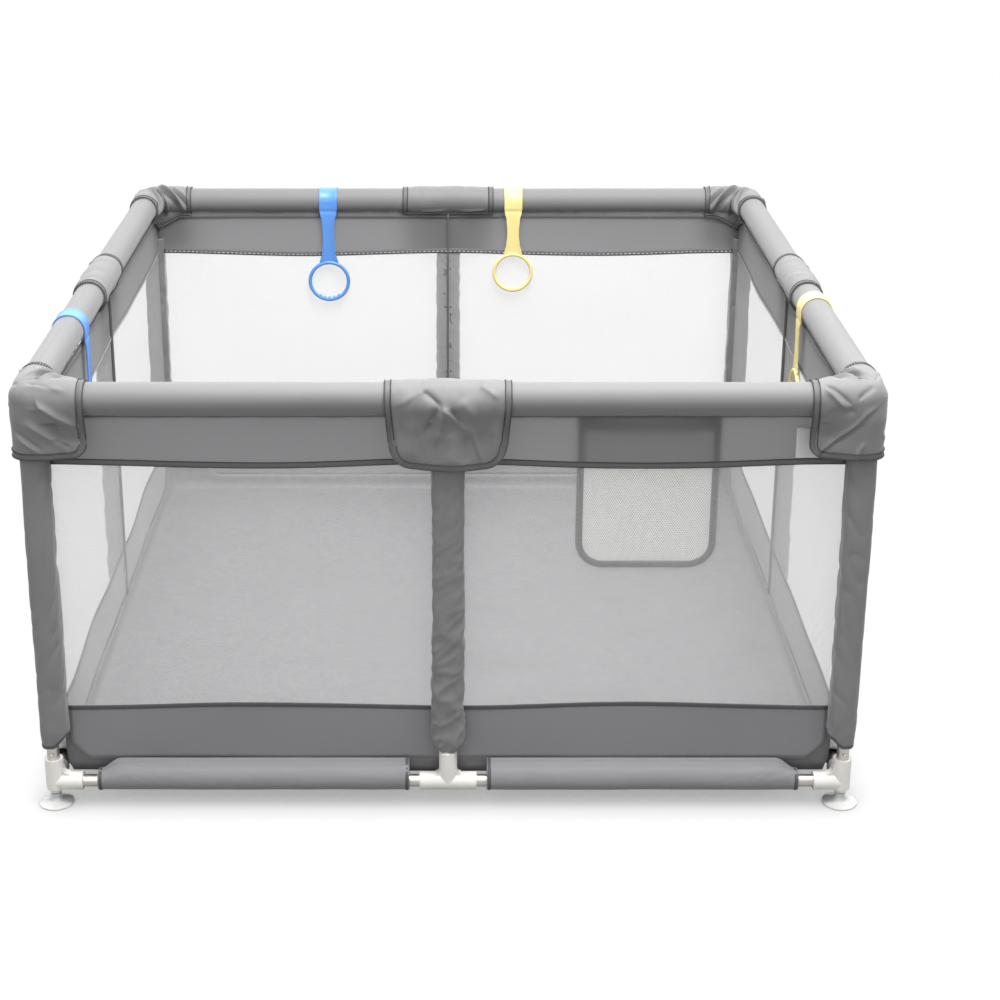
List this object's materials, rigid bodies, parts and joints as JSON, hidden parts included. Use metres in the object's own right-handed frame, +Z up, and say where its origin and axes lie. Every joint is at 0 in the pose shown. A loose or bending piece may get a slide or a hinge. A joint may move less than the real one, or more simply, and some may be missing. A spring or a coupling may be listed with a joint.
{
  "type": "playpen",
  "caption": "Square play yard with padded top rails, see-through mesh walls, steel tube frame in plastic connectors, suction feet, hanging pull rings and an inside mesh pocket.",
  "frame": {"origin": "on the floor, at the middle of the plan", "axes": "+Z up; the front, the side with the pocket, faces -Y; +X to the right when seen from the front"},
  "size_m": [1.276, 1.276, 0.694],
  "materials": {
    "grey_fabric": "plain woven polyester, slight sheen",
    "floor_fabric": "coated oxford cloth, matt",
    "wall_mesh": "fine see-through knitted mesh",
    "pocket_mesh": "coarse white knitted mesh",
    "label_fabric": "smooth white woven tape",
    "foam": "closed-cell foam",
    "steel_tube": "thin nickel plate, satin",
    "steel_button": "plain steel",
    "white_plastic": "moulded, fine texture",
    "foot_rubber": "milky soft plastic",
    "blue_plastic": "moulded soft plastic, satin",
    "yellow_plastic": "moulded soft plastic, satin"
  },
  "bodies": {
    "playpen": {"top_rail_tubes_front": "steel_tube", "bottom_rail_tubes_front": "steel_tube", "wall_panel_front": "wall_mesh", "mid_cover_front": "grey_fabric", "rail_sleeve_front": "grey_fabric", "bottom_tee_connector_front": "white_plastic", "top_rail_tubes_right": "steel_tube", "bottom_rail_tubes_right": "steel_tube", "wall_panel_right": "wall_mesh", "mid_cover_right": "grey_fabric", "rail_sleeve_right": "grey_fabric", "bottom_tee_connector_right": "white_plastic", "top_rail_tubes_back": "steel_tube", "bottom_rail_tubes_back": "steel_tube", "wall_panel_back": "wall_mesh", "mid_cover_back": "grey_fabric", "rail_sleeve_back": "grey_fabric", "bottom_tee_connector_back": "white_plastic", "top_rail_tubes_left": "steel_tube", "bottom_rail_tubes_left": "steel_tube", "wall_panel_left": "wall_mesh", "mid_cover_left": "grey_fabric", "rail_sleeve_left": "grey_fabric", "bottom_tee_connector_left": "white_plastic", "corner_post_tube_front_left": "steel_tube", "corner_cover_front_left": "grey_fabric", "bottom_corner_connector_front_left": "white_plastic", "corner_post_tube_front_right": "steel_tube", "corner_cover_front_right": "grey_fabric", "bottom_corner_connector_front_right": "white_plastic", "corner_post_tube_back_right": "steel_tube", "corner_cover_back_right": "grey_fabric", "bottom_corner_connector_back_right": "white_plastic", "corner_post_tube_back_left": "steel_tube", "corner_cover_back_left": "grey_fabric", "bottom_corner_connector_back_left": "white_plastic", "mid_post_tubes": "steel_tube", "top_corner_connectors": "white_plastic", "top_tee_connectors": "white_plastic", "rail_foam": "foam", "corner_post_sleeves": "grey_fabric", "mid_post_sleeves": "grey_fabric", "bottom_rail_sleeves": "grey_fabric", "floor_sheet": "floor_fabric", "pocket": "pocket_mesh", "label_tab": "label_fabric"},
    "foot_front_left": {"suction_foot_front_left": "foot_rubber"},
    "button_front_left": {"snap_button_front_left": "steel_button"},
    "foot_front_right": {"suction_foot_front_right": "foot_rubber"},
    "button_front_right": {"snap_button_front_right": "steel_button"},
    "foot_back_right": {"suction_foot_back_right": "foot_rubber"},
    "button_back_right": {"snap_button_back_right": "steel_button"},
    "foot_back_left": {"suction_foot_back_left": "foot_rubber"},
    "button_back_left": {"snap_button_back_left": "steel_button"},
    "ring_blue_back": {"pull_ring_blue_back": "blue_plastic"},
    "ring_yellow_back": {"pull_ring_yellow_back": "yellow_plastic"},
    "ring_blue_left": {"pull_ring_blue_left": "blue_plastic"},
    "ring_yellow_right": {"pull_ring_yellow_right": "yellow_plastic"}
  },
  "joints": [
    {"name": "foot_swivel_front_left", "type": "hinge", "parent": "playpen", "child": "foot_front_left", "pos_m": [-0.611, -0.611, 0], "axis": [0, 0, 1], "continuous": true},
    {"name": "button_press_front_left", "type": "slide", "parent": "playpen", "child": "button_front_left", "axis": [0, 1, 0], "range_m": [0, 0.0022], "stiffness_N_per_m": 600, "springref_m": -0.002},
    {"name": "foot_swivel_front_right", "type": "hinge", "parent": "playpen", "child": "foot_front_right", "pos_m": [0.611, -0.611, 0], "axis": [0, 0, 1], "continuous": true},
    {"name": "button_press_front_right", "type": "slide", "parent": "playpen", "child": "button_front_right", "axis": [0, 1, 0], "range_m": [0, 0.0022], "stiffness_N_per_m": 600, "springref_m": -0.002},
    {"name": "foot_swivel_back_right", "type": "hinge", "parent": "playpen", "child": "foot_back_right", "pos_m": [0.611, 0.611, 0], "axis": [0, 0, 1], "continuous": true},
    {"name": "button_press_back_right", "type": "slide", "parent": "playpen", "child": "button_back_right", "axis": [0, -1, 0], "range_m": [0, 0.0022], "stiffness_N_per_m": 600, "springref_m": -0.002},
    {"name": "foot_swivel_back_left", "type": "hinge", "parent": "playpen", "child": "foot_back_left", "pos_m": [-0.611, 0.611, 0], "axis": [0, 0, 1], "continuous": true},
    {"name": "button_press_back_left", "type": "slide", "parent": "playpen", "child": "button_back_left", "axis": [0, -1, 0], "range_m": [0, 0.0022], "stiffness_N_per_m": 600, "springref_m": -0.002},
    {"name": "ring_blue_back_swing", "type": "hinge", "parent": "playpen", "child": "ring_blue_back", "pos_m": [-0.245, 0.611, 0.667], "axis": [-1, 0, 0], "range_deg": [0, 90]},
    {"name": "ring_yellow_back_swing", "type": "hinge", "parent": "playpen", "child": "ring_yellow_back", "pos_m": [0.133, 0.611, 0.667], "axis": [-1, 0, 0], "range_deg": [0, 90]},
    {"name": "ring_blue_left_swing", "type": "hinge", "parent": "playpen", "child": "ring_blue_left", "pos_m": [-0.611, -0.264, 0.667], "axis": [0, -1, 0], "range_deg": [0, 90]},
    {"name": "ring_yellow_right_swing", "type": "hinge", "parent": "playpen", "child": "ring_yellow_right", "pos_m": [0.611, -0.165, 0.667], "axis": [0, 1, 0], "range_deg": [0, 90]}
  ]
}
